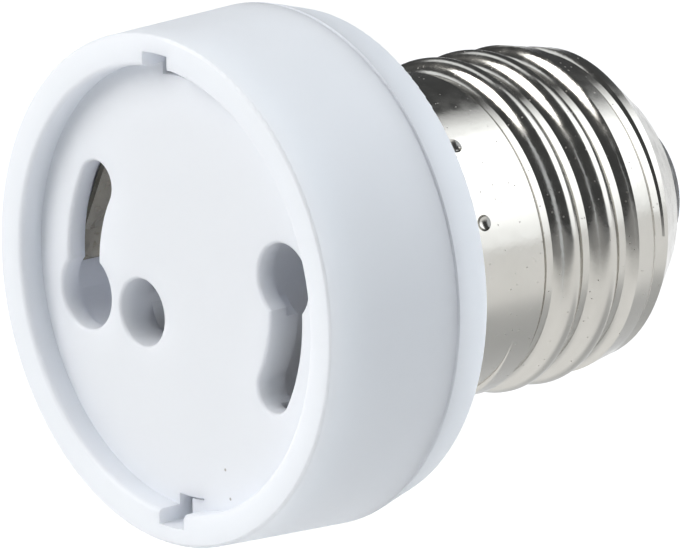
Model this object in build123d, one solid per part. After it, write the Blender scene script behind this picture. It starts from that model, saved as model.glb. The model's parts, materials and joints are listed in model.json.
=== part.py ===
from build123d import *
import os
from math import atan, cos, hypot, radians, sin

# Lamp socket adapter: two-pin twist-lock socket in front, Edison screw cap behind.
# Millimetres. The axis is Y, the recessed face lies in y = 0 and the screw cap points to +Y. Z is up.

# Clearance of a close fit, such as a strip in its slit or the insulator in the shell
FIT = 0.05

# How far a cutter runs past the face it cuts, and a boss into its wall
OVERCUT = 1.0

# Keyhole slots: the right one, with the left one half a turn round the axis
PIN_SPACING = 24.0
ENTRY_R = 2.93
ENTRY_ANGLE = 13.7
SEAT_ANGLE = -28.9
SLOT_WIDTH = 3.6
EDGE_ROUND = 0.25

# Pin chambers behind the slots
CHAMBER_CLEARANCE = 0.27
CHAMBER_WALL = 0.9
CHAMBER_DEPTH = 6.0
SLOT_RAIL = 1.1
RAIL_TO_ENTRY = 0.6

# Front housing, wide enough for the chambers
CHAMBER_TO_WALL = 1.5
WALL = 2.0
PLATE = 1.6
RIM_WIDTH = 2.5
RIM_HEIGHT = 2.0
RIM_INNER_ROUND = 0.4
FRONT_ROUND = 0.25
SIDE_FLARE = 0.4
CHAMBER_TO_SEAM = 2.5
SEAM_CHAMFER = 0.15

# Round hole in the face and the raised land behind it
HOLE_INWARD = 6.12
HOLE_ANGLE = 211.75
HOLE_R = 2.6
HOLE_LAND = 1.08
HOLE_DEPTH = 3.1

# Snap windows and hooks: the upper ones, with the lower ones half a turn round the axis
WINDOW_LEFT = -2.4
WINDOW_WIDTH = 2.9
WINDOW_INWARD = 0.9
WINDOW_OUTWARD = 1.15
LEDGE_DEPTH = 1.0
HOOK_WIDTH = 1.45
HOOK_GAP = 0.2
HOOK_STEM = 1.6
HOOK_STEM_GAP = 0.4

# Back cover
COVER_BAND = 3.7
REAR_TAPER = 1.0
REAR_EDGE_ROUND = 0.35
REAR_RISE = 0.5
COVER_INSET = 1.4
LIP_CLEARANCE = 0.3
LIP_WALL = 1.0
LIP_LENGTH = 1.9
COLLAR_WALL = 1.9
COLLAR_HEIGHT = 1.3

# Screw shell, rolled from sheet
SHEET = 0.35
ROOT_R = 12.1
SKIRT_STEP = 0.3
SKIRT_LENGTH = 8.1
PITCH = 3.629
THREAD_DEPTH = 1.0
THREAD_LENGTH = 13.9
THREAD_LEAD = 0.27
THREAD_TURNS = 4.0
LEAD_TURNS = 0.45
FULL_AT_ANGLE = 140
KNUCKLE_R = 1.047
KNUCKLE_ANGLE = 60.1
KNUCKLE_FOOT = 0.86
FOOT_SINK = 0.02
BASE_SINK = 0.2
TAPER_LENGTH = 6.0
TAPER_OVER_CREST = 0.2
SHOULDER_LENGTH = 3.8
SHOULDER_DROP = 3.3
MOUTH_EDGE = 0.1
DIMPLE_PAIRS = 4
DIMPLE_ANGLE = 18.8
DIMPLE_STEP = 29.7
DIMPLE_PLACE = 4.0
DIMPLE_R = 0.7
DIMPLE_DEPTH = 0.4

# Neck of the back cover, inside the shell
NECK_CLEARANCE = 0.35
NECK_WALL = 2.0
NECK_STEP = 1.8
NECK_FLOOR = 2.0
NECK_TO_SHOULDER = 3.3
NECK_GROOVE_DEPTH = 0.5
NECK_GROOVE_WIDTH = 2.4
WIRE_GROOVE_PLAY = 0.3
WIRE_GROOVE_LENGTH = 6.5

# Insulator and centre contact at the tip
INSULATOR_STEP = 0.7
TIP_LENGTH = 3.1
TIP_TAPER = 3.3
TIP_RIM = 1.3
CONTACT_RECESS = 0.3
CONTACT_THICK = 0.6
TIP_HOLE_R = 1.2
TIP_SOLDER_SHARE = 0.57
TIP_SOLDER_HEIGHT = 0.9

# Contact strips: the left one, from the solder tab past a fold to the free end
STRIP = 0.5
STRIP_SETBACK = 0.6
STRIP_FOLD_OUT = 2.6
STRIP_FOLD_ANGLE = 138.4
STRIP_BEND_OUT = 2.9
STRIP_BEND_ANGLE = 176
STRIP_END_ANGLE = 184.6
TAB_TO_WALL = 2.6
TAB_ANGLE = 120
TAB_END_ANGLE = 137
TAB_FRONT = 1.4
TAB_BACK = 1.1

# Wires, each in the plane through the axis at its own angle
CORE_R = 0.4
SLEEVE_IN_R = 0.42
SLEEVE_R = 0.8
LIVE_ANGLE = 124
WIRE_TO_TAB = 0.95
WIRE_ON_TAB = 2.1
SLEEVE_TO_TAB = 0.1
WIRE_TURN = 2.4
WIRE_BEND = 1.6
LIVE_PROUD = 0.5
LIVE_SLEEVE_SHORT = 0.2
NEUTRAL_CLEARANCE = 1.3
NEUTRAL_SLEEVE_SHORT = 3.0
NEUTRAL_OVER = 0.7
NEUTRAL_BEND = 0.6
NEUTRAL_END_SHORT = 0.5
TAB_SOLDER_R = 1.0
TAB_SOLDER_INWARD = 0.1

# Worked out: places along the axis
PLATE_BACK_Y = PLATE
LEDGE_Y = PLATE_BACK_Y + LEDGE_DEPTH
CHAMBER_BACK_Y = PLATE_BACK_Y + CHAMBER_DEPTH
SEAM_Y = CHAMBER_BACK_Y + CHAMBER_TO_SEAM
LIP_FRONT_Y = SEAM_Y - LIP_LENGTH
COVER_WALL_Y = SEAM_Y + COVER_INSET
REAR_EDGE_Y = SEAM_Y + COVER_BAND
REAR_MIDDLE_Y = REAR_EDGE_Y + REAR_RISE
SHELL_Y = REAR_MIDDLE_Y + COLLAR_HEIGHT
DIMPLE_Y = SHELL_Y + DIMPLE_PLACE
SKIRT_END_Y = SHELL_Y + SKIRT_LENGTH
THREAD_START_Y = SKIRT_END_Y + THREAD_LEAD
SHOULDER_Y = SKIRT_END_Y + THREAD_LENGTH
TAPER_START_Y = SHOULDER_Y - TAPER_LENGTH
MOUTH_Y = SHOULDER_Y + SHOULDER_LENGTH
NECK_BORE_Y = COVER_WALL_Y + NECK_FLOOR
NECK_END_Y = SHOULDER_Y - NECK_TO_SHOULDER
WIRE_GROOVE_Y = NECK_END_Y - WIRE_GROOVE_LENGTH
INSULATOR_Y = SHOULDER_Y + INSULATOR_STEP
TIP_Y = MOUTH_Y + TIP_LENGTH
CONTACT_Y = TIP_Y - CONTACT_RECESS
CONTACT_END_Y = CONTACT_Y + CONTACT_THICK
STRIP_FRONT_Y = PLATE_BACK_Y + STRIP_SETBACK
TAB_FRONT_Y = PLATE_BACK_Y + TAB_FRONT
TAB_BACK_Y = CHAMBER_BACK_Y - TAB_BACK
SLEEVE_END_Y = TAB_BACK_Y + SLEEVE_TO_TAB
WIRE_END_Y = SLEEVE_END_Y - WIRE_ON_TAB
WIRE_TURN_Y = SLEEVE_END_Y + WIRE_TURN
NEUTRAL_OVER_Y = NECK_END_Y + NEUTRAL_OVER

# Worked out: distances from the axis
PIN_CIRCLE_R = PIN_SPACING / 2
HOLE_PLACE_R = PIN_CIRCLE_R - HOLE_INWARD
CHAMBER_HALF_WIDTH = ENTRY_R + CHAMBER_CLEARANCE
CHAMBER_OUTER_HALF = CHAMBER_HALF_WIDTH + CHAMBER_WALL
BORE_R = PIN_CIRCLE_R + CHAMBER_OUTER_HALF + CHAMBER_TO_WALL
BODY_FRONT_R = BORE_R + WALL
BODY_SEAM_R = BODY_FRONT_R + SIDE_FLARE
REAR_EDGE_R = BODY_SEAM_R - REAR_TAPER
RIM_INNER_R = BODY_FRONT_R - RIM_WIDTH
WINDOW_IN_R = RIM_INNER_R - WINDOW_INWARD
WINDOW_OUT_R = RIM_INNER_R + WINDOW_OUTWARD
LIP_R = BORE_R - LIP_CLEARANCE
SKIRT_R = ROOT_R + SKIRT_STEP
CREST_R = ROOT_R + THREAD_DEPTH
COLLAR_R = SKIRT_R + COLLAR_WALL
MOUTH_R = ROOT_R - SHOULDER_DROP
MOUTH_HOLE_R = MOUTH_R - MOUTH_EDGE
NECK_R = SKIRT_R - SHEET - NECK_CLEARANCE
NECK_END_R = ROOT_R - SHEET - NECK_CLEARANCE
NECK_BORE_R = NECK_END_R - NECK_WALL
COVER_BORE_R = NECK_BORE_R - NECK_STEP
TIP_R = MOUTH_R - TIP_TAPER
CONTACT_R = TIP_R - TIP_RIM
TIP_SOLDER_R = CONTACT_R * TIP_SOLDER_SHARE
TAB_R = BORE_R - TAB_TO_WALL
WIRE_TAB_R = TAB_R - WIRE_TO_TAB
NEUTRAL_R = COVER_BORE_R - SLEEVE_R - NEUTRAL_CLEARANCE
NEUTRAL_OUT_R = ROOT_R - SHEET - FIT - CORE_R

# Worked out: the shell's sheet along its sloping shoulder
SHOULDER_ANGLE = atan(SHOULDER_DROP / SHOULDER_LENGTH)
SHEET_IN = SHEET * cos(SHOULDER_ANGLE)
SHEET_BACK = SHEET * sin(SHOULDER_ANGLE)
SHOULDER_SLOPE = (SHOULDER_DROP - SHEET + SHEET_IN) / SHOULDER_LENGTH


def half_turn(shape):
    """The same shape on the other side of the axis."""
    return Rot(0, 180, 0) * shape


def polar(radius, angle):
    """Point on the face plane, with the angle from X towards Z."""
    return (radius * cos(radians(angle)), radius * sin(radians(angle)))


def slab(sketch, y_from, y_to):
    """A face-plane sketch given thickness along the axis."""
    return extrude(Plane.XZ.offset(-y_from) * sketch, y_to - y_from, dir=(0, 1, 0))


def turned(points, rounds=()):
    """A solid turned about the axis from (radius, y) points, with some corners rounded in the section."""
    section = make_face(Polyline(*points, close=True))
    for corner, radius in rounds:
        section = fillet(section.vertices().sort_by_distance(corner)[0], radius)
    return revolve(section, Axis.Y)


def block(x_from, x_to, y_from, y_to, z_from, z_to):
    """A box given by its faces."""
    size = Box(x_to - x_from, y_to - y_from, z_to - z_from, align=Align.MIN)
    return Pos(x_from, y_from, z_from) * size


# Front housing

def pin_slot(width):
    """Curved slot along the pin circle from the entry to the seat."""
    return SlotArc(CenterArc((0, 0), PIN_CIRCLE_R, SEAT_ANGLE, ENTRY_ANGLE - SEAT_ANGLE), width)


def entry(radius):
    """Circle about the right keyhole's entry."""
    return Pos(*polar(PIN_CIRCLE_R, ENTRY_ANGLE)) * Circle(radius)


def keyhole():
    """Outline of the right keyhole: round entry and curved slot with a round end as the seat."""
    return pin_slot(SLOT_WIDTH) + entry(ENTRY_R)


def pin_chamber():
    """Wall round the space behind the right keyhole."""
    outside = pin_slot(2 * CHAMBER_OUTER_HALF)
    return slab(outside - pin_slot(2 * CHAMBER_HALF_WIDTH), PLATE_BACK_Y / 2, CHAMBER_BACK_Y)


def slot_rail():
    """Thicker edge along the right slot's inner side, for the pin's head to slide behind."""
    inner_side = pin_slot(2 * CHAMBER_HALF_WIDTH) & Circle(PIN_CIRCLE_R)
    plan = inner_side - pin_slot(SLOT_WIDTH) - entry(ENTRY_R + RAIL_TO_ENTRY)
    return slab(plan, PLATE_BACK_Y, PLATE_BACK_Y + SLOT_RAIL)


def pin_space():
    """Free space of the right chamber, behind the face and round the rail."""
    return slab(pin_slot(2 * CHAMBER_HALF_WIDTH), PLATE_BACK_Y, CHAMBER_BACK_Y) - slot_rail()


def housing_cup():
    """Open cup with a recessed face, before anything is cut through it."""
    rim_inner = (RIM_INNER_R, -RIM_HEIGHT)
    front = (BODY_FRONT_R, -RIM_HEIGHT)
    points = [
        (0, 0),
        (RIM_INNER_R, 0),
        rim_inner,
        front,
        (BODY_SEAM_R, SEAM_Y - SEAM_CHAMFER),
        (BODY_SEAM_R - SEAM_CHAMFER, SEAM_Y),
        (BORE_R, SEAM_Y),
        (BORE_R, PLATE_BACK_Y),
        (0, PLATE_BACK_Y),
    ]
    return turned(points, [(front, FRONT_ROUND), (rim_inner, RIM_INNER_ROUND)])


def window_plan(side_gap, width, edge_gap):
    """Piece of a ring in the upper window, by its gaps to the window's left side and round edges."""
    ring = Circle(WINDOW_OUT_R - edge_gap) - Circle(WINDOW_IN_R + edge_gap)
    strip = Rectangle(width, WINDOW_OUT_R, align=Align.MIN)
    return ring & (Pos(WINDOW_LEFT + side_gap, 0) * strip)


def snap_window():
    """Opening for the upper hook, through the rim and the face down to the ledge."""
    return slab(window_plan(0, WINDOW_WIDTH, 0), -RIM_HEIGHT - OVERCUT, LEDGE_Y)


def soften_openings(housing):
    """Rounds the front edges of the keyholes and the round hole."""
    edges = housing.edges().filter_by_position(Axis.Y, -FIT, FIT)
    openings = [edge for edge in edges if hypot(edge.center().X, edge.center().Z) < WINDOW_IN_R - FIT]
    return fillet(openings, EDGE_ROUND)


def front_housing(strip_slits):
    """The moulded housing with its face, slots, windows and pin chambers."""
    hole_place = Pos(*polar(HOLE_PLACE_R, HOLE_ANGLE))
    land = slab(hole_place * Circle(HOLE_R + HOLE_LAND), 0, HOLE_DEPTH)
    walls = pin_chamber() + slot_rail()
    housing = housing_cup() + land + (walls + half_turn(walls) - strip_slits)
    slot = slab(keyhole(), -OVERCUT, PLATE_BACK_Y)
    hole = slab(hole_place * Circle(HOLE_R), -OVERCUT, CHAMBER_BACK_Y)
    for cut in (slot, snap_window(), pin_space()):
        housing = housing - cut - half_turn(cut)
    return soften_openings(housing - hole)


# Back cover

def cover_body():
    """Flange, rear wall, lip, collar and neck, turned in one piece."""
    rear_edge = (REAR_EDGE_R, REAR_EDGE_Y)
    lip_in = LIP_R - LIP_WALL
    groove_r = NECK_R - NECK_GROOVE_DEPTH
    points = [
        (COVER_BORE_R, COVER_WALL_Y),
        (lip_in, COVER_WALL_Y),
        (lip_in, LIP_FRONT_Y),
        (LIP_R, LIP_FRONT_Y),
        (LIP_R, SEAM_Y),
        (BODY_SEAM_R - SEAM_CHAMFER, SEAM_Y),
        (BODY_SEAM_R, SEAM_Y + SEAM_CHAMFER),
        rear_edge,
        (COLLAR_R, REAR_MIDDLE_Y),
        (COLLAR_R, SHELL_Y),
        (NECK_R, SHELL_Y),
        (NECK_R, DIMPLE_Y - NECK_GROOVE_WIDTH / 2),
        (groove_r, DIMPLE_Y - NECK_GROOVE_WIDTH / 2),
        (groove_r, DIMPLE_Y + NECK_GROOVE_WIDTH / 2),
        (NECK_R, DIMPLE_Y + NECK_GROOVE_WIDTH / 2),
        (NECK_R, SKIRT_END_Y),
        (NECK_END_R, SKIRT_END_Y),
        (NECK_END_R, NECK_END_Y),
        (NECK_BORE_R, NECK_END_Y),
        (NECK_BORE_R, NECK_BORE_Y),
        (COVER_BORE_R, NECK_BORE_Y),
    ]
    return turned(points, [(rear_edge, REAR_EDGE_ROUND)])


def snap_hook():
    """The upper hook: a stem from the lip, with a nib that catches the housing's ledge."""
    left = WINDOW_LEFT + HOOK_GAP
    right = left + HOOK_WIDTH
    stem_out = BORE_R - HOOK_STEM_GAP
    stem = block(left, right, PLATE_BACK_Y + HOOK_GAP, COVER_WALL_Y, stem_out - HOOK_STEM, stem_out)
    tip = slab(window_plan(HOOK_GAP, HOOK_WIDTH, HOOK_GAP), HOOK_GAP, LEDGE_Y)
    return stem + tip


def chamber_cap():
    """Boss that closes the right pin chamber from behind and holds its strip."""
    return slab(pin_slot(2 * CHAMBER_OUTER_HALF), CHAMBER_BACK_Y, COVER_WALL_Y + OVERCUT)


def wire_groove():
    """Groove outside the neck for the neutral wire's bare end."""
    half = CORE_R + WIRE_GROOVE_PLAY / 2
    groove = block(NECK_END_R - 2 * CORE_R, NECK_R, WIRE_GROOVE_Y, NECK_END_Y, -half, half)
    return half_turn(Rot(0, -LIVE_ANGLE, 0) * groove)


def back_cover():
    """The moulded cover with its hooks, chamber caps and neck."""
    cover = cover_body()
    for piece in (snap_hook(), chamber_cap()):
        cover = cover + piece + half_turn(piece)
    return cover - wire_groove()


# Screw shell

def knuckle(shrink):
    """Section of the round thread's ridge, with its radius drawn in by the sheet for the inner side."""
    crest = CREST_R - shrink
    root = ROOT_R - shrink
    flank_r = crest - KNUCKLE_R * (1 - cos(radians(KNUCKLE_ANGLE)))
    flank_out = KNUCKLE_R * sin(radians(KNUCKLE_ANGLE))
    foot_r = root - FOOT_SINK
    foot_out = PITCH / 2 * KNUCKLE_FOOT
    base_r = root - BASE_SINK
    top = ThreePointArc((flank_r, -flank_out), (crest, 0), (flank_r, flank_out))
    right = TangentArc((flank_r, flank_out), (foot_r, foot_out), tangent=top % 1)
    base = Polyline((foot_r, foot_out), (base_r, foot_out), (base_r, -foot_out), (foot_r, -foot_out))
    left = mirror(right, Plane.XZ)
    return make_face([top, right, base, left])


def thread_ridge(shrink, turn_from, turn_to):
    """Part of the right-hand ridge, wound along the axis."""
    path = Helix(PITCH, PITCH * (turn_to - turn_from), ROOT_R)
    ridge = sweep(Plane.XZ * knuckle(shrink), path=path, is_frenet=True)
    ridge = Pos(0, 0, THREAD_START_Y + PITCH * turn_from) * Rot(0, 0, 360 * turn_from) * ridge
    return Rot(-90, 0, 0) * ridge


def thread(shrink):
    """The whole ridge: it starts level with the skirt, grows to full height and runs out at the taper."""
    full_turns = FULL_AT_ANGLE / 360
    start = thread_ridge(shrink, -LEAD_TURNS, full_turns)
    aside = Pos(*polar(THREAD_DEPTH / 2 + FOOT_SINK, -FULL_AT_ANGLE))
    growing = aside * Circle(ROOT_R + THREAD_DEPTH / 2 - shrink)
    fade = slab(Circle(SKIRT_R - shrink) + growing, SHELL_Y, SHOULDER_Y)
    taper_r = CREST_R + TAPER_OVER_CREST - shrink
    taper = turned([
        (0, SHELL_Y),
        (taper_r, SHELL_Y),
        (taper_r, TAPER_START_Y),
        (ROOT_R - shrink, SHOULDER_Y),
        (0, SHOULDER_Y),
    ])
    rest = thread_ridge(shrink, full_turns, THREAD_TURNS)
    return (start & fade) + (rest & taper)


def shell_tube(shrink, mouth_in, mouth_back):
    """Plain form of the shell, filled: skirt, thread root and tapered end."""
    return turned([
        (0, SHELL_Y),
        (SKIRT_R - shrink, SHELL_Y),
        (SKIRT_R - shrink, SKIRT_END_Y),
        (ROOT_R - shrink, SKIRT_END_Y + SKIRT_STEP),
        (ROOT_R - shrink, SHOULDER_Y - mouth_back),
        (MOUTH_R - mouth_in, MOUTH_Y - mouth_back),
        (0, MOUTH_Y - mouth_back),
    ])


def dimples(radius):
    """Balls where the skirt is punched in."""
    ball = Pos(SKIRT_R - DIMPLE_DEPTH + DIMPLE_R, DIMPLE_Y, 0) * Sphere(radius)
    firsts = [DIMPLE_ANGLE + 360 / DIMPLE_PAIRS * k for k in range(DIMPLE_PAIRS)]
    angles = firsts + [angle + DIMPLE_STEP for angle in firsts]
    return [Rot(0, -angle, 0) * ball for angle in angles]


def screw_shell():
    """Thin rolled shell with its thread, dimples and open mouth."""
    outside = shell_tube(0, 0, 0) + thread(0)
    inside = shell_tube(SHEET, SHEET_IN, SHEET_BACK) + thread(SHEET)
    inside = inside - dimples(DIMPLE_R + SHEET)
    mouth = slab(Circle(MOUTH_HOLE_R), SHOULDER_Y, MOUTH_Y + OVERCUT)
    return outside - dimples(DIMPLE_R) - inside - mouth


# Insulator and centre contact

def base_insulator():
    """Black insulating plug set into the shell's mouth, with a hole for the live wire."""
    recess_r = CONTACT_R + FIT
    inner_r = ROOT_R - SHEET - (INSULATOR_Y - SHOULDER_Y + SHEET_BACK) * SHOULDER_SLOPE - FIT
    seat_y = SHOULDER_Y - SHEET_BACK + (ROOT_R - SHEET - MOUTH_HOLE_R) / SHOULDER_SLOPE
    return turned([
        (TIP_HOLE_R, INSULATOR_Y),
        (inner_r, INSULATOR_Y),
        (MOUTH_HOLE_R - FIT, seat_y),
        (MOUTH_HOLE_R - FIT, MOUTH_Y),
        (TIP_R, TIP_Y),
        (recess_r, TIP_Y),
        (recess_r, CONTACT_Y),
        (TIP_HOLE_R, CONTACT_Y),
    ])


def centre_contact():
    """Plated disc at the tip with a hole for the live wire."""
    disc = Circle(CONTACT_R) - Circle(CORE_R + FIT)
    return slab(disc, CONTACT_Y, CONTACT_END_Y)


def tip_solder(core):
    """Dome of solder over the wire's end on the centre contact."""
    ball_r = (TIP_SOLDER_R**2 + TIP_SOLDER_HEIGHT**2) / (2 * TIP_SOLDER_HEIGHT)
    ball = Pos(0, CONTACT_END_Y + TIP_SOLDER_HEIGHT - ball_r, 0) * Sphere(ball_r)
    above = slab(Circle(ball_r), CONTACT_END_Y, CONTACT_END_Y + ball_r)
    return (ball & above) - core


# Contact strips

def strip_plan(thickness):
    """Folded strip of the left contact seen along the axis."""
    bends = Polyline(
        polar(TAB_R, TAB_ANGLE),
        polar(PIN_CIRCLE_R + STRIP_FOLD_OUT, STRIP_FOLD_ANGLE),
        polar(PIN_CIRCLE_R + STRIP_BEND_OUT, STRIP_BEND_ANGLE),
        polar(PIN_CIRCLE_R + STRIP_BEND_OUT, STRIP_END_ANGLE),
    )
    return make_face(offset(bends, thickness / 2, kind=Kind.INTERSECTION))


def contact_strip():
    """Left contact strip, standing on edge in its chamber, with a narrower solder tab outside."""
    strip = slab(strip_plan(STRIP), STRIP_FRONT_Y, CHAMBER_BACK_Y)
    tab_side = Polygon((0, 0), polar(BODY_FRONT_R, TAB_END_ANGLE), polar(BODY_FRONT_R, 90), align=None)
    front_trim = slab(tab_side, STRIP_FRONT_Y, TAB_FRONT_Y)
    back_trim = slab(tab_side, TAB_BACK_Y, CHAMBER_BACK_Y)
    return strip - front_trim - back_trim


def strip_slit():
    """Slit in the chamber wall that grips the left strip."""
    return slab(strip_plan(STRIP + 2 * FIT), STRIP_FRONT_Y, CHAMBER_BACK_Y)


# Wires

def wire_path(bends, radii):
    """Path in the live wire's plane through the axis, from (radius, y) points."""
    across_x, across_z = polar(1, LIVE_ANGLE)
    points = [(radius * across_x, y, radius * across_z) for radius, y in bends]
    return FilletPolyline(*points, radius=radii)


def round_wire(path, radius, hollow=0):
    """Round wire along a path, or its sleeve if it is hollow."""
    section = Circle(radius)
    if hollow:
        section = section - Circle(hollow)
    return sweep(Plane(origin=path @ 0, z_dir=path % 0) * section, path=path)


def live_wire():
    """Core and sleeve of the wire from the left strip to the tip."""
    bends = [(WIRE_TAB_R, WIRE_TURN_Y), (0, WIRE_TURN_Y)]
    radii = [WIRE_BEND, WIRE_BEND]
    core_path = wire_path([(WIRE_TAB_R, WIRE_END_Y), *bends, (0, CONTACT_END_Y + LIVE_PROUD)], radii)
    sleeve_end = (0, INSULATOR_Y - LIVE_SLEEVE_SHORT)
    sleeve_path = wire_path([(WIRE_TAB_R, SLEEVE_END_Y), *bends, sleeve_end], radii)
    return round_wire(core_path, CORE_R), round_wire(sleeve_path, SLEEVE_R, SLEEVE_IN_R)


def neutral_wire():
    """Core and sleeve of the wire from the right strip to the shell, its bare end bent over the neck."""
    bends = [(WIRE_TAB_R, WIRE_TURN_Y), (NEUTRAL_R, WIRE_TURN_Y)]
    radii = [WIRE_BEND, WIRE_BEND]
    over = [(NEUTRAL_R, NEUTRAL_OVER_Y), (NEUTRAL_OUT_R, NEUTRAL_OVER_Y)]
    core_end = (NEUTRAL_OUT_R, WIRE_GROOVE_Y + NEUTRAL_END_SHORT)
    core_radii = [*radii, NEUTRAL_BEND, NEUTRAL_BEND]
    core_path = wire_path([(WIRE_TAB_R, WIRE_END_Y), *bends, *over, core_end], core_radii)
    sleeve_end = (NEUTRAL_R, NECK_END_Y - NEUTRAL_SLEEVE_SHORT)
    sleeve_path = wire_path([(WIRE_TAB_R, SLEEVE_END_Y), *bends, sleeve_end], radii)
    return half_turn(round_wire(core_path, CORE_R)), half_turn(round_wire(sleeve_path, SLEEVE_R, SLEEVE_IN_R))


def tab_solder(strip, core):
    """Blob that joins the live wire's end to the left strip's tab."""
    x, z = polar(WIRE_TAB_R - TAB_SOLDER_INWARD, LIVE_ANGLE)
    ball = Pos(x, (WIRE_END_Y + SLEEVE_END_Y) / 2 - FIT, z) * Sphere(TAB_SOLDER_R)
    return ball - strip - core


live_strip = contact_strip()
live_core, live_sleeve = live_wire()
neutral_core, neutral_sleeve = neutral_wire()
live_solder = tab_solder(live_strip, live_core)

parts = {
    "front_housing": front_housing(strip_slit() + half_turn(strip_slit())),
    "back_cover": back_cover(),
    "screw_shell": screw_shell(),
    "base_insulator": base_insulator(),
    "centre_contact": centre_contact(),
    "tip_solder": tip_solder(live_core),
    "live_contact_strip": live_strip,
    "neutral_contact_strip": half_turn(live_strip),
    "live_strip_solder": live_solder,
    "neutral_strip_solder": half_turn(live_solder),
    "live_wire_core": live_core,
    "live_wire_sleeve": live_sleeve,
    "neutral_wire_core": neutral_core,
    "neutral_wire_sleeve": neutral_sleeve,
}

os.makedirs("parts", exist_ok=True)
for name, solid in parts.items():
    export_step(solid, f"parts/{name}.step")
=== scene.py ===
import json
from math import cos, pi, radians, sin

import bpy
from mathutils import Matrix, Vector


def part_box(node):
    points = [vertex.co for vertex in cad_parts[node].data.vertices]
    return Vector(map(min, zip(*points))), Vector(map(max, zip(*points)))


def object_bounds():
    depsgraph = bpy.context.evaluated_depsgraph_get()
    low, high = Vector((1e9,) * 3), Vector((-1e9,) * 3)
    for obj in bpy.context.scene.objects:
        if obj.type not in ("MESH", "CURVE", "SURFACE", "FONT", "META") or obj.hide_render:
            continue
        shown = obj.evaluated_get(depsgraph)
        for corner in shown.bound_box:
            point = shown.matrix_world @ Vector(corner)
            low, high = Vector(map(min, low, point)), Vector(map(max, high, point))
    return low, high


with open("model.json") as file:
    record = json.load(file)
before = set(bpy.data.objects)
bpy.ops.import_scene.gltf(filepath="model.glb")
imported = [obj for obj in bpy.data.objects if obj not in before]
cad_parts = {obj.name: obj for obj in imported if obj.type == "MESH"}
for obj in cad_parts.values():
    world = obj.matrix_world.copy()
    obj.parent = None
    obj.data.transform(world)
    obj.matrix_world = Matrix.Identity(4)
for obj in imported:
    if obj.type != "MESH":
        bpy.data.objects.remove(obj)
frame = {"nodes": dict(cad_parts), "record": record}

# Looks of the lamp socket adapter. Metres, in the part's own frame: the axis is Y and Z is up.
MM = 0.001
cad_low, cad_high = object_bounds()
RIM_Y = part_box("front_housing")[0].y

# Camera, from the photograph. It aims at the picture's middle, right of and above the rim's centre
CAMERA_AZIMUTH = 50.25
CAMERA_ELEVATION = 15.40
CAMERA_DISTANCE = 1.1257
CAMERA_LENS = 795.7
SENSOR_WIDTH = 36.0
CAMERA_NEAR = 0.1
CAMERA_FAR = 10.0
AIM_RIGHT = 13.27 * MM
AIM_UP = 1.26 * MM

# Two small dark marks on the face, by X and Z
FACE_MARKS = ((4.9 * MM, -13.2 * MM), (5.5 * MM, -15.35 * MM))
MARK_R = 0.15 * MM
MARK_TONE = (0.45, 0.44, 0.43)

# Floor
FLOOR_DROP = 40 * MM
FLOOR_SIZE = 6.0
FLOOR_ROUGHNESS = 0.6
FLOOR_TONE = (0.8, 0.8, 0.8)
FLOOR_GLOW = 0.42

# Painted shadow: an oval patch of floor under the part that glows less, darker there and in reflections:
# its middle, half widths and edge as shares of them
PAINTED_SHADOW_GLOW = 0.02
PAINTED_SHADOW_PLACE = (-0.005, 0.08)
PAINTED_SHADOW_SIZE = (0.085, 0.05)
PAINTED_SHADOW_EDGE = (0.6, 1.2)

# Shade on the floor in front on the right: the way to it, and how far off it starts and is full
FRONT_TONE = (0.4, 0.4, 0.4)
FRONT_WAY = (0.57, -0.82)
FRONT_EDGE = (0.03, 0.18)

# Key light
KEY_PLACE = (-0.38, -0.82, 0.62)
KEY_WIDTH = 0.9
KEY_BRIGHTNESS = 5.65

# World lights, by the Y of their direction and its turn about the axis in degrees
STRIP_Y = (0.34, 0.93)
STRIP_TURN = (-30, 106)
STRIP_FOOT = (0, 45)
STRIP_FOOT_SHARE = 0.6
STRIP_HEAD = (70, 108)
STRIP_HEAD_SHARE = 0.25
STRIP_BRIGHTNESS = 2.75
OVERHEAD_Y = (0.0, 0.3)
OVERHEAD_TURN = (106, 150)
OVERHEAD_BRIGHTNESS = 1.25
LIGHT_EDGE = 0.05
ROOM_BRIGHTNESS = 0.08
WORLD_TINT = (0.96, 1.0, 1.05)


def new_material(name, metallic=0.0):
    """A node material, with its tree and main shader."""
    material = bpy.data.materials.new(name)
    material.use_nodes = True
    tree = material.node_tree
    shader = tree.nodes["Principled BSDF"]
    shader.inputs["Metallic"].default_value = metallic
    return material, tree, shader


def place(tree):
    """The part's own coordinates, in metres."""
    return tree.nodes.new("ShaderNodeTexCoord").outputs["Object"]


def noise(tree, scale, detail=3.0):
    """Cloudy pattern, from 0 to 1, with a grain of about 1 / scale metres."""
    node = tree.nodes.new("ShaderNodeTexNoise")
    node.inputs["Scale"].default_value = scale
    node.inputs["Detail"].default_value = detail
    tree.links.new(place(tree), node.inputs["Vector"])
    return node.outputs["Fac"]


def spread(tree, value, low, high, start=0.3, end=0.7):
    """The part of a pattern between start and end, stretched over low to high."""
    node = tree.nodes.new("ShaderNodeMapRange")
    node.interpolation_type = "SMOOTHSTEP"
    for name, number in (("From Min", start), ("From Max", end), ("To Min", low), ("To Max", high)):
        node.inputs[name].default_value = number
    tree.links.new(value, node.inputs["Value"])
    return node.outputs["Result"]


def combine(tree, operation, first, second):
    """Result of a math operation on two values, each a number or a socket."""
    node = tree.nodes.new("ShaderNodeMath")
    node.operation = operation
    for socket, value in zip(node.inputs, (first, second)):
        if isinstance(value, (int, float)):
            socket.default_value = value
        else:
            tree.links.new(value, socket)
    return node.outputs["Value"]


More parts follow.
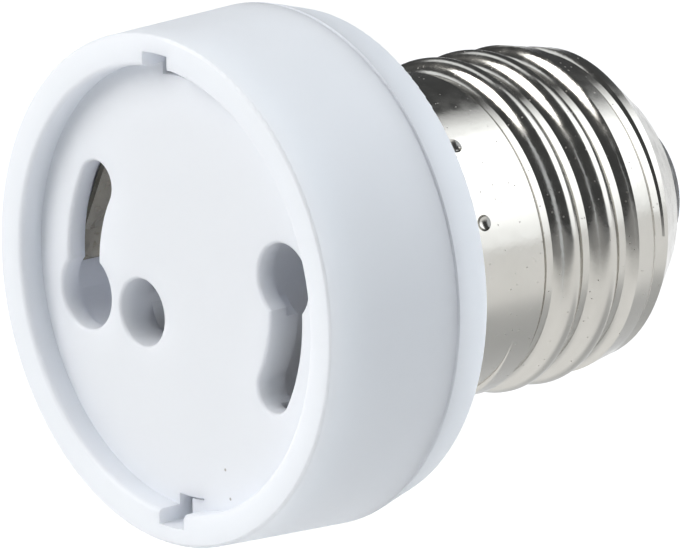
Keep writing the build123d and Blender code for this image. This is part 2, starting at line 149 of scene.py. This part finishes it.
def specks(tree, scale, radius, share):
    """Scattered dots: 1 inside them and 0 elsewhere, for a share of the cells of a given scale."""
    cells = tree.nodes.new("ShaderNodeTexVoronoi")
    cells.inputs["Scale"].default_value = scale
    tree.links.new(place(tree), cells.inputs["Vector"])
    lot = tree.nodes.new("ShaderNodeSeparateColor")
    tree.links.new(cells.outputs["Color"], lot.inputs["Color"])
    chosen = combine(tree, "LESS_THAN", lot.outputs["Red"], share)
    dots = spread(tree, cells.outputs["Distance"], 1, 0, radius / 2, radius)
    return combine(tree, "MULTIPLY", chosen, dots)


def blend(tree, factor, first, second):
    """Colour between two others."""
    node = tree.nodes.new("ShaderNodeMix")
    node.data_type = "RGBA"
    tree.links.new(factor, node.inputs["Factor"])
    for name, colour in (("A", first), ("B", second)):
        socket = [s for s in node.inputs if s.name == name and s.type == "RGBA"][0]
        if isinstance(colour, tuple):
            socket.default_value = (*colour, 1)
        else:
            tree.links.new(colour, socket)
    return [s for s in node.outputs if s.type == "RGBA"][0]


def bump(tree, height, distance, normal=None):
    """Surface relief of a given height in metres."""
    node = tree.nodes.new("ShaderNodeBump")
    node.inputs["Distance"].default_value = distance
    tree.links.new(height, node.inputs["Height"])
    if normal:
        tree.links.new(normal, node.inputs["Normal"])
    return node.outputs["Normal"]


def vector_math(tree, operation, first, second):
    """Result of an operation on a vector socket and a fixed vector."""
    node = tree.nodes.new("ShaderNodeVectorMath")
    node.operation = operation
    tree.links.new(first, node.inputs[0])
    node.inputs[1].default_value = second
    return node.outputs["Value" if operation in ("DISTANCE", "DOT_PRODUCT") else "Vector"]


def white_plastic():
    """Satin white moulding with a faint cloudiness and two dark marks low on its face."""
    material, tree, shader = new_material("white_plastic")
    tint = blend(tree, noise(tree, scale=90), (0.865, 0.897, 0.975), (0.88, 0.91, 0.982))
    for x, z in FACE_MARKS:
        apart = vector_math(tree, "DISTANCE", place(tree), (x, 0, z))
        tint = blend(tree, spread(tree, apart, 1, 0, MARK_R / 2, MARK_R), tint, MARK_TONE)
    tree.links.new(tint, shader.inputs["Base Color"])
    tree.links.new(spread(tree, noise(tree, scale=700), low=0.36, high=0.46), shader.inputs["Roughness"])
    tree.links.new(bump(tree, noise(tree, scale=4000), distance=0.004 * MM), shader.inputs["Normal"])
    shader.inputs["Subsurface Weight"].default_value = 0.7
    shader.inputs["Subsurface Radius"].default_value = (1.0, 1.0, 1.0)
    shader.inputs["Subsurface Scale"].default_value = 3.0 * MM
    return material


def nickel():
    """Bright nickel plate, slightly wavy from rolling, finely pitted and dusty."""
    material, tree, shader = new_material("nickel_plate", metallic=1.0)
    tint = blend(tree, noise(tree, scale=250), (0.49, 0.472, 0.43), (0.54, 0.52, 0.48))
    dust = specks(tree, scale=1800, radius=0.13, share=0.5)
    tree.links.new(blend(tree, dust, tint, (0.62, 0.6, 0.56)), shader.inputs["Base Color"])
    polish = spread(tree, noise(tree, scale=900), low=0.14, high=0.24)
    tree.links.new(combine(tree, "ADD", polish, dust), shader.inputs["Roughness"])
    waves = bump(tree, noise(tree, scale=220, detail=2.0), distance=0.02 * MM)
    pits = bump(tree, noise(tree, scale=3000), distance=0.003 * MM, normal=waves)
    tree.links.new(pits, shader.inputs["Normal"])
    return material


def contact_bronze():
    """Dull spring strip, darker where it is tarnished."""
    material, tree, shader = new_material("contact_bronze", metallic=1.0)
    tint = blend(tree, noise(tree, scale=500), (0.27, 0.245, 0.2), (0.4, 0.37, 0.31))
    tree.links.new(tint, shader.inputs["Base Color"])
    tree.links.new(spread(tree, noise(tree, scale=1500), low=0.12, high=0.3), shader.inputs["Roughness"])
    tree.links.new(bump(tree, noise(tree, scale=900), distance=0.02 * MM), shader.inputs["Normal"])
    return material


def black_insulator():
    """Dark moulded insulator with grey grains."""
    material, tree, shader = new_material("black_insulator")
    grains = spread(tree, noise(tree, scale=1800, detail=4.0), low=0, high=1, start=0.5, end=0.68)
    tint = blend(tree, grains, (0.02, 0.021, 0.022), (0.11, 0.12, 0.125))
    tree.links.new(tint, shader.inputs["Base Color"])
    tree.links.new(spread(tree, noise(tree, scale=1200), low=0.35, high=0.6), shader.inputs["Roughness"])
    tree.links.new(bump(tree, noise(tree, scale=1500), distance=0.03 * MM), shader.inputs["Normal"])
    return material


def solder():
    """Dull grey solder with a wrinkled skin."""
    material, tree, shader = new_material("solder", metallic=1.0)
    tint = blend(tree, noise(tree, scale=1500), (0.5, 0.51, 0.52), (0.66, 0.67, 0.68))
    tree.links.new(tint, shader.inputs["Base Color"])
    tree.links.new(spread(tree, noise(tree, scale=2500), low=0.25, high=0.5), shader.inputs["Roughness"])
    tree.links.new(bump(tree, noise(tree, scale=1800), distance=0.03 * MM), shader.inputs["Normal"])
    return material


def copper():
    """Bare copper wire, a little tarnished."""
    material, tree, shader = new_material("copper", metallic=1.0)
    tint = blend(tree, noise(tree, scale=1200), (0.72, 0.42, 0.26), (0.5, 0.27, 0.16))
    tree.links.new(tint, shader.inputs["Base Color"])
    tree.links.new(spread(tree, noise(tree, scale=2000), low=0.2, high=0.4), shader.inputs["Roughness"])
    return material


def sleeve(name, first, second):
    """Soft plastic insulation of a wire."""
    material, tree, shader = new_material(name)
    tree.links.new(blend(tree, noise(tree, scale=600), first, second), shader.inputs["Base Color"])
    tree.links.new(spread(tree, noise(tree, scale=1500), low=0.35, high=0.5), shader.inputs["Roughness"])
    tree.links.new(bump(tree, noise(tree, scale=3000), distance=0.01 * MM), shader.inputs["Normal"])
    return material


def dress_nodes():
    """Gives each CAD node the material of its slot."""
    made = {
        "white_plastic": white_plastic(),
        "nickel_plate": nickel(),
        "contact_bronze": contact_bronze(),
        "black_insulator": black_insulator(),
        "solder": solder(),
        "copper": copper(),
        "live_sleeve": sleeve("live_sleeve", (0.04, 0.04, 0.045), (0.06, 0.06, 0.065)),
        "neutral_sleeve": sleeve("neutral_sleeve", (0.78, 0.78, 0.76), (0.84, 0.84, 0.82)),
    }
    for part in frame["record"]["subparts"]:
        node = frame["nodes"][part["node"]]
        for slot in node.material_slots:
            slot.material = made[part["material_slot"]]


def add_camera():
    """Camera at the photograph's angle."""
    turn = radians(CAMERA_AZIMUTH)
    rise = radians(CAMERA_ELEVATION)
    right = Vector((cos(turn), sin(turn), 0))
    back = Vector((sin(turn) * cos(rise), -cos(turn) * cos(rise), sin(rise)))
    up = back.cross(right)
    aim = Vector((0, RIM_Y, 0)) + right * AIM_RIGHT + up * AIM_UP
    camera = bpy.data.objects.new("camera", bpy.data.cameras.new("camera"))
    camera.data.lens = CAMERA_LENS
    camera.data.sensor_width = SENSOR_WIDTH
    camera.data.clip_start = CAMERA_NEAR
    camera.data.clip_end = CAMERA_FAR
    axes = Matrix((right, up, back)).transposed().to_4x4()
    camera.matrix_world = Matrix.Translation(aim + back * CAMERA_DISTANCE) @ axes
    bpy.context.scene.collection.objects.link(camera)
    bpy.context.scene.camera = camera


def floor_material():
    """Pale floor that is white to the camera and in reflections, and keeps the part's shadow.
    A painted shadow makes it glow less close under the part, and it falls off into shade in front on the
    right."""
    material, tree, shader = new_material("floor")
    toward_front = vector_math(tree, "DOT_PRODUCT", place(tree), (*FRONT_WAY, 0))
    front = spread(tree, toward_front, 0, 1, *FRONT_EDGE)
    tree.links.new(blend(tree, front, FLOOR_TONE, FRONT_TONE), shader.inputs["Base Color"])
    shader.inputs["Roughness"].default_value = FLOOR_ROUGHNESS
    shader.inputs["Emission Color"].default_value = (1, 1, 1, 1)
    rays = tree.nodes.new("ShaderNodeLightPath").outputs
    seen = combine(tree, "MAXIMUM", rays["Is Camera Ray"], rays["Is Glossy Ray"])
    seen = combine(tree, "MAXIMUM", seen, rays["Is Transmission Ray"])
    # Painted shadow: the glow drops in an oval patch close under the part
    from_shadow_middle = vector_math(tree, "SUBTRACT", place(tree), (*PAINTED_SHADOW_PLACE, 0))
    from_shadow_middle = vector_math(tree, "DIVIDE", from_shadow_middle, (*PAINTED_SHADOW_SIZE, 1))
    apart = vector_math(tree, "DISTANCE", from_shadow_middle, (0, 0, 0))
    glow = spread(tree, apart, PAINTED_SHADOW_GLOW, FLOOR_GLOW, *PAINTED_SHADOW_EDGE)
    glow = combine(tree, "MULTIPLY", glow, combine(tree, "SUBTRACT", 1, front))
    tree.links.new(combine(tree, "MULTIPLY", seen, glow), shader.inputs["Emission Strength"])
    return material


def add_floor():
    """Plain floor some way under the part."""
    bpy.ops.mesh.primitive_plane_add(size=FLOOR_SIZE, location=(0, 0, cad_low.z - FLOOR_DROP))
    floor = bpy.context.object
    floor.name = "floor"
    floor.data.materials.append(floor_material())


def add_key_light():
    """Soft lamp at the front left, above. Its power follows from its size and brightness."""
    data = bpy.data.lights.new("key", "AREA")
    data.shape = "DISK"
    data.size = KEY_WIDTH
    data.energy = KEY_BRIGHTNESS * pi * pi * KEY_WIDTH**2 / 4
    lamp = bpy.data.objects.new("key", data)
    lamp.location = KEY_PLACE
    lamp.rotation_euler = (-Vector(KEY_PLACE)).to_track_quat("-Z", "Y").to_euler()
    bpy.context.scene.collection.objects.link(lamp)


def between(tree, value, low, high):
    """1 between two limits and 0 outside, with soft edges."""
    rising = spread(tree, value, 0, 1, low - LIGHT_EDGE, low + LIGHT_EDGE)
    falling = spread(tree, value, 1, 0, high - LIGHT_EDGE, high + LIGHT_EDGE)
    return combine(tree, "MULTIPLY", rising, falling)


def in_radians(limits):
    """Two limits in degrees, as radians."""
    return [radians(limit) for limit in limits]


def light(tree, brightness, shares):
    """Brightness of one of the world's lights, where all its shares of 0 to 1 let it through."""
    for share in shares:
        brightness = combine(tree, "MULTIPLY", share, brightness)
    return brightness


def add_world():
    """Dark studio with one long soft strip light, from behind on the right up over the part,
    and a smaller panel above it on the left."""
    world = bpy.data.worlds.new("world")
    world.use_nodes = True
    tree = world.node_tree
    split = tree.nodes.new("ShaderNodeSeparateXYZ")
    tree.links.new(tree.nodes.new("ShaderNodeTexCoord").outputs["Generated"], split.inputs["Vector"])
    toward_y = split.outputs["Y"]
    around = combine(tree, "ARCTAN2", split.outputs["Z"], split.outputs["X"])
    strip = light(tree, STRIP_BRIGHTNESS, [
        between(tree, toward_y, *STRIP_Y),
        between(tree, around, *in_radians(STRIP_TURN)),
        spread(tree, around, STRIP_FOOT_SHARE, 1, *in_radians(STRIP_FOOT)),
        spread(tree, around, 1, STRIP_HEAD_SHARE, *in_radians(STRIP_HEAD)),
    ])
    overhead = light(tree, OVERHEAD_BRIGHTNESS, [
        between(tree, toward_y, *OVERHEAD_Y),
        between(tree, around, *in_radians(OVERHEAD_TURN)),
    ])
    strength = combine(tree, "ADD", combine(tree, "ADD", strip, overhead), ROOM_BRIGHTNESS)
    tree.links.new(strength, tree.nodes["Background"].inputs["Strength"])
    tree.nodes["Background"].inputs["Color"].default_value = (*WORLD_TINT, 1)
    bpy.context.scene.world = world


dress_nodes()
add_camera()
add_floor()
add_key_light()
add_world()

bpy.context.scene.view_settings.view_transform = "Standard"
